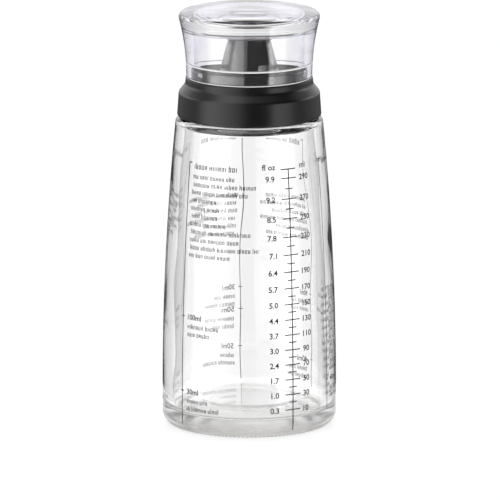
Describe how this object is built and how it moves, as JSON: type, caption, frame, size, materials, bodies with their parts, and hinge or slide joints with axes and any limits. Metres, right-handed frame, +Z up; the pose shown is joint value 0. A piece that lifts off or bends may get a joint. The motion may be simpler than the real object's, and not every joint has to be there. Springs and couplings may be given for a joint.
{
  "type": "salad dressing shaker bottle",
  "caption": "Tapered clear glass shaker bottle with a black threaded collar, a tapered pouring spout and a clear flared pull-off cap.",
  "frame": {"origin": "centre of the base on the plane that the bottle stands on", "axes": "+Z up along the bottle's axis, -Y the front with the volume scale to its right"},
  "size_m": [0.072, 0.072, 0.174],
  "materials": {
    "clear_glass": "polished clear pressed glass",
    "silicone": "translucent matt silicone",
    "glossy_black": "glossy moulded black plastic",
    "matt_black": "fine matt moulded black plastic",
    "clear_plastic": "polished clear moulded plastic"
  },
  "bodies": {
    "bottle": {"glass_bottle": "clear_glass"},
    "seal_ring": {"lip_gasket": "silicone"},
    "closure": {"screw_collar": "matt_black", "pour_spout": "glossy_black"},
    "cap": {"clear_cap": "clear_plastic", "spout_seal": "silicone"}
  },
  "joints": [
    {"name": "collar_rise", "type": "slide", "parent": "bottle", "child": "seal_ring", "axis": [0, 0, 1], "range_m": [0, 0.015]},
    {"name": "collar_turn", "type": "hinge", "parent": "seal_ring", "child": "closure", "pos_m": [0, 0, 0.14], "axis": [0, 0, 1], "range_deg": [0, 540]},
    {"name": "cap_lift", "type": "slide", "parent": "closure", "child": "cap", "axis": [0, 0, 1], "range_m": [0, 0.03]}
  ],
  "couplings": [
    {"joint": "collar_rise", "follows": "collar_turn", "m_per_rad": 0.0015915}
  ]
}
